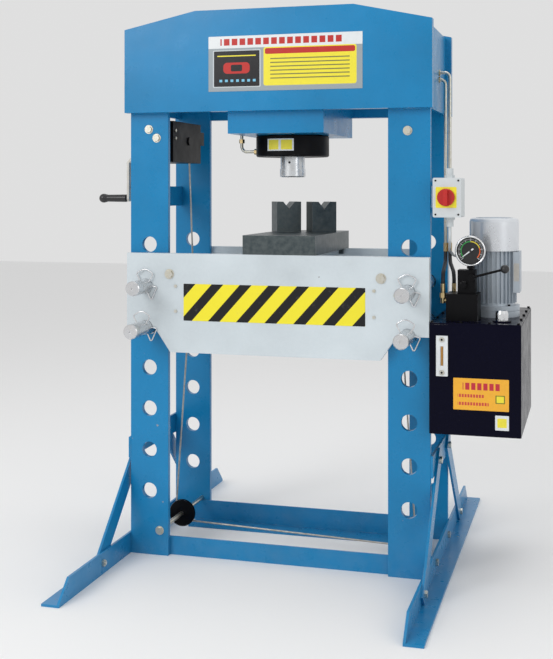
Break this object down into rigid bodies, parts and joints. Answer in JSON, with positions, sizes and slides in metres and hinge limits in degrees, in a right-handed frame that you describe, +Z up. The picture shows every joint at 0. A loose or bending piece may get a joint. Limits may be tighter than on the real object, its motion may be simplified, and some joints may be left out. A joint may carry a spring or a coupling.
{
  "type": "hydraulic press",
  "caption": "Workshop H-frame hydraulic press with a pinned bed, vertical ram, rope winch and a side-hung electric oil power unit.",
  "frame": {"origin": "on the floor, at the centre of the whole machine's footprint box; the ram's axis stands 40.5 mm to the left of it", "axes": "+X to the machine's right, where the power unit hangs; +Y to the rear; +Z up"},
  "size_m": [1.551, 1.56, 1.88],
  "materials": {
    "blue_paint": "gloss sprayed enamel",
    "bed_paint": "gloss sprayed enamel, light grey",
    "navy_paint": "gloss enamel, near black",
    "black_metal": "satin black",
    "dark_steel": "blackened, oiled",
    "bright_steel": "turned",
    "zinc": "zinc plated",
    "chrome": "polished",
    "motor_silver": "silver grey enamel",
    "dial_black": "black dial in a bright case",
    "needle_white": "white",
    "wire_rope": "stranded wire rope",
    "black_rubber": "matt",
    "black_plastic": "moulded",
    "grey_plastic": "moulded",
    "red_plastic": "moulded",
    "white_plastic": "moulded",
    "brass": "plated brass"
  },
  "bodies": {
    "frame": {"post_front_left": "blue_paint", "post_front_right": "blue_paint", "post_rear_left": "blue_paint", "post_rear_right": "blue_paint", "beam_front_plate": "blue_paint", "beam_rear_plate": "blue_paint", "beam_end_plates": "blue_paint", "spreader_ties": "blue_paint", "base_rails": "blue_paint", "feet": "blue_paint", "braces": "blue_paint", "frame_bolts": "zinc", "cylinder_block": "blue_paint", "cylinder_barrel": "bright_steel", "cylinder_gland": "black_metal", "bed_front_plate": "bed_paint", "bed_rear_plate": "bed_paint", "bed_cross_plates": "bed_paint", "bed_bolts": "zinc", "arbor_plate": "dark_steel", "vee_blocks": "dark_steel", "winch_box": "black_metal", "winch_rope": "wire_rope", "levelling_rope": "wire_rope", "oil_tank": "navy_paint", "tank_lid": "navy_paint", "power_unit_screws": "black_metal", "level_gauge": "white_plastic", "motor_frame": "motor_silver", "terminal_box": "motor_silver", "fan_cover": "motor_silver", "oil_pump": "dark_steel", "manifold": "black_metal", "hand_valve": "black_metal", "gauge_case": "dial_black", "oil_tubes": "zinc", "oil_hoses": "black_rubber", "oil_fittings": "brass", "switch_case": "grey_plastic", "switch_cover": "grey_plastic", "cable_glands": "grey_plastic", "motor_lead": "grey_plastic"},
    "ram": {"piston": "bright_steel", "ram_rod": "bright_steel", "ram_nose": "bright_steel"},
    "pin_upper_left": {"bed_pin_upper_left": "bright_steel"},
    "pin_upper_right": {"bed_pin_upper_right": "bright_steel"},
    "pin_lower_left": {"bed_pin_lower_left": "bright_steel"},
    "pin_lower_right": {"bed_pin_lower_right": "bright_steel"},
    "crank": {"winch_drum": "bright_steel", "crank_arm": "bright_steel"},
    "grip": {"crank_grip": "black_plastic"},
    "spool_left": {"rope_spool_left": "black_metal"},
    "spool_right": {"rope_spool_right": "black_metal"},
    "rotor": {"motor_shaft": "bright_steel", "motor_fan": "black_plastic"},
    "lever": {"valve_lever": "bright_steel"},
    "needle": {"gauge_needle": "needle_white"},
    "knob": {"switch_knob": "red_plastic"},
    "cap": {"filler_cap": "chrome"}
  },
  "joints": [
    {"name": "ram_slide", "type": "slide", "parent": "frame", "child": "ram", "axis": [0, 0, -1], "range_m": [0, 0.19]},
    {"name": "pin_upper_left_slide", "type": "slide", "parent": "frame", "child": "pin_upper_left", "axis": [0, -1, 0], "range_m": [0, 0.54]},
    {"name": "pin_upper_right_slide", "type": "slide", "parent": "frame", "child": "pin_upper_right", "axis": [0, -1, 0], "range_m": [0, 0.54]},
    {"name": "pin_lower_left_slide", "type": "slide", "parent": "frame", "child": "pin_lower_left", "axis": [0, -1, 0], "range_m": [0, 0.54]},
    {"name": "pin_lower_right_slide", "type": "slide", "parent": "frame", "child": "pin_lower_right", "axis": [0, -1, 0], "range_m": [0, 0.54]},
    {"name": "crank_turn", "type": "hinge", "parent": "frame", "child": "crank", "pos_m": [-0.5455, -0.028, 1.445], "axis": [1, 0, 0], "continuous": true},
    {"name": "grip_spin", "type": "hinge", "parent": "crank", "child": "grip", "pos_m": [-0.7185, -0.028, 1.238], "axis": [1, 0, 0], "continuous": true},
    {"name": "spool_left_turn", "type": "hinge", "parent": "frame", "child": "spool_left", "pos_m": [-0.4575, -0.005, 0.086], "axis": [0, 1, 0], "continuous": true},
    {"name": "spool_right_turn", "type": "hinge", "parent": "frame", "child": "spool_right", "pos_m": [0.3765, -0.005, 0.06], "axis": [0, 1, 0], "continuous": true},
    {"name": "motor_turn", "type": "hinge", "parent": "frame", "child": "rotor", "pos_m": [0.6685, 0, 1], "axis": [0, 0, 1], "continuous": true},
    {"name": "valve_lever_swing", "type": "hinge", "parent": "frame", "child": "lever", "pos_m": [0.6115, -0.197, 0.984], "axis": [0, 1, 0], "range_deg": [-30, 30]},
    {"name": "gauge_needle_swing", "type": "hinge", "parent": "frame", "child": "needle", "pos_m": [0.6055, -0.165, 1.069], "axis": [0, 1, 0], "range_deg": [0, 270]},
    {"name": "switch_turn", "type": "hinge", "parent": "frame", "child": "knob", "pos_m": [0.5395, -0.28, 1.245], "axis": [0, 1, 0], "range_deg": [0, 90]},
    {"name": "filler_cap_turn", "type": "hinge", "parent": "frame", "child": "cap", "pos_m": [0.7095, -0.19, 0.86], "axis": [0, 0, 1], "continuous": true}
  ]
}
